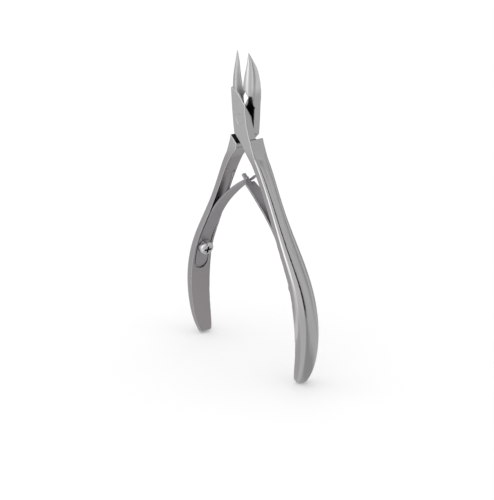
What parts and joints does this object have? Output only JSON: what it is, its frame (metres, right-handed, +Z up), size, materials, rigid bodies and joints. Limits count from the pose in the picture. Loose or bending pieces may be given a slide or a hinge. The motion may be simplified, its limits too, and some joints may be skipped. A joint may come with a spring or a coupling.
{
  "type": "cuticle nipper",
  "caption": "Double-spring cuticle nipper: lap-jointed levers with bevelled side-cutting jaws, bowed handles and two crossing leaf springs that hold it open",
  "frame": {"origin": "middle of the tool across X and Y, at the height of the handle ends", "axes": "+Z up along the tool from the handle ends to the jaw tips, X across the handles, Y along the pivot axis with -Y the front"},
  "size_m": [0.0702, 0.0084, 0.1103],
  "materials": {
    "lever_steel": "satin-ground lap and jaws, polished handles",
    "spring_steel": "satin spring steel",
    "screw_steel": "bright polished"
  },
  "bodies": {
    "front": {"front_lever": "lever_steel", "pivot_rivet": "lever_steel", "right_spring_screw": "screw_steel"},
    "back": {"back_lever": "lever_steel", "left_spring_screw": "screw_steel"},
    "left_leaf": {"left_spring": "spring_steel"},
    "right_leaf": {"right_spring": "spring_steel"}
  },
  "joints": [
    {"name": "pivot", "type": "hinge", "parent": "front", "child": "back", "pos_m": [0, 0, 0.0872], "axis": [0, -1, 0], "range_deg": [0, 15], "stiffness_Nm_per_rad": 0.9, "springref_deg": -11.46},
    {"name": "left_leaf_flex", "type": "hinge", "parent": "back", "child": "left_leaf", "pos_m": [-0.02115, 0, 0.04701], "axis": [0, -1, 0], "range_deg": [0, 7.3], "deforming": ["left_spring"]},
    {"name": "right_leaf_flex", "type": "hinge", "parent": "front", "child": "right_leaf", "pos_m": [0.02115, 0, 0.04701], "axis": [0, 1, 0], "range_deg": [0, 7.3], "deforming": ["right_spring"]}
  ],
  "couplings": [
    {"joint": "left_leaf_flex", "follows": "pivot", "ratio": 0.4827},
    {"joint": "right_leaf_flex", "follows": "pivot", "ratio": 0.4827}
  ]
}
